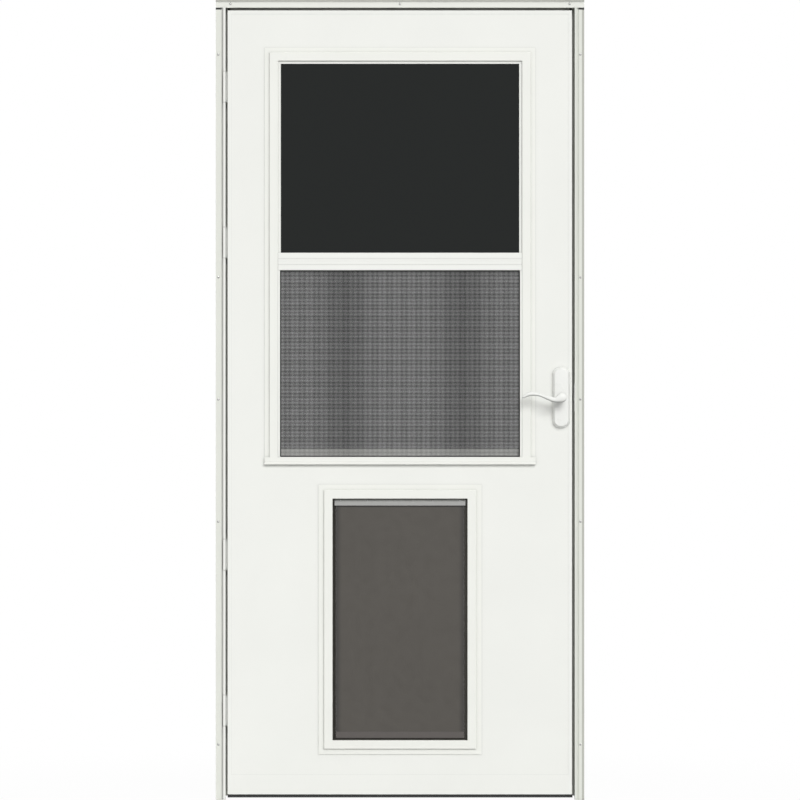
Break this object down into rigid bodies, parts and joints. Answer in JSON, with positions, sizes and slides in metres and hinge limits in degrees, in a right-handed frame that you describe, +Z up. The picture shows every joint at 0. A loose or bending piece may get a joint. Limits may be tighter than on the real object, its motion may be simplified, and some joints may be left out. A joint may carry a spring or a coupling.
{
  "type": "storm door with pet door",
  "caption": "Outer door in a metal frame with a long hinge, a glass and screen window, a hanging pet flap and a lever handle.",
  "frame": {"origin": "on the back face of the hinge-side flange, on its screw line, at sill level", "axes": "+X across the doorway from the hinge side to the latch side, +Y from outdoors into the wall, +Z up"},
  "size_m": [0.94, 0.138, 2.045],
  "materials": {
    "frame_paint": "satin white baked paint",
    "leaf_paint": "satin white paint with a faint grain",
    "surround": "moulded white, satin",
    "sash_paint": "satin white paint",
    "core_wood": "raw board",
    "window_glass": "float glass, dark against an unlit room",
    "screen": "woven charcoal mesh",
    "flap_vinyl": "smoky flexible vinyl",
    "magnet": "grey bonded magnet strip",
    "clamp_metal": "mill finish",
    "seal": "black vinyl",
    "bulb_seal": "dark flexible vinyl",
    "sealing_tape": "grey foam tape",
    "handle_paint": "glossy white paint",
    "steel": "zinc plated"
  },
  "bodies": {
    "frame": {"hinge_z_bar": "frame_paint", "latch_z_bar": "frame_paint", "head_z_bar": "frame_paint", "frame_hinge_strip": "leaf_paint", "hinge_pins": "steel", "weatherstrips": "bulb_seal", "strike_plate": "steel", "latch_flange_tape": "sealing_tape", "corner_pads": "seal"},
    "door_leaf": {"hinge_stile_core": "core_wood", "latch_stile_core": "core_wood", "top_rail_core": "core_wood", "lock_rail_core": "core_wood", "bottom_rail_core": "core_wood", "pet_side_cores": "core_wood", "front_skin": "leaf_paint", "back_skin": "leaf_paint", "hinge_edge_channel": "leaf_paint", "latch_edge_channel": "leaf_paint", "top_edge_channel": "leaf_paint", "bottom_expander": "leaf_paint", "sweep_fins": "seal", "hinge_leaves": "leaf_paint", "window_trim_stiles": "surround", "window_trim_head": "surround", "window_sill": "surround", "back_trim_stiles": "surround", "back_trim_rails": "surround", "upper_sash_stiles": "sash_paint", "upper_sash_rails": "sash_paint", "upper_glass": "window_glass", "screen_stiles": "sash_paint", "screen_rails": "sash_paint", "screen_cloth": "screen", "inner_sash_stiles": "sash_paint", "inner_sash_rails": "sash_paint", "inner_sash_latches": "sash_paint", "inner_glass": "window_glass", "pet_frame_front": "surround", "pet_frame_back": "surround", "flap_clamp_bar": "clamp_metal", "flap_top_band": "flap_vinyl", "flap_backing_bar": "clamp_metal", "outside_plate": "handle_paint", "inside_plate": "handle_paint", "latch_case": "steel"},
    "lever": {"outside_lever": "handle_paint", "inside_lever": "handle_paint", "spindle": "steel"},
    "pet_flap": {"flap_panel": "flap_vinyl", "flap_magnet_strip": "magnet"}
  },
  "joints": [
    {"name": "door_hinge", "type": "hinge", "parent": "frame", "child": "door_leaf", "pos_m": [0.0152, -0.005, 1.0165], "axis": [0, 0, -1], "range_deg": [0, 110]},
    {"name": "lever_turn", "type": "hinge", "parent": "door_leaf", "child": "lever", "pos_m": [0.8745, -0.006, 1.029], "axis": [0, -1, 0], "range_deg": [0, 40], "stiffness_Nm_per_rad": 1.2, "springref_deg": -28.65},
    {"name": "flap_swing", "type": "hinge", "parent": "door_leaf", "child": "pet_flap", "pos_m": [0.4635, 0.002, 0.7502], "axis": [1, 0, 0], "range_deg": [-80, 80]}
  ]
}
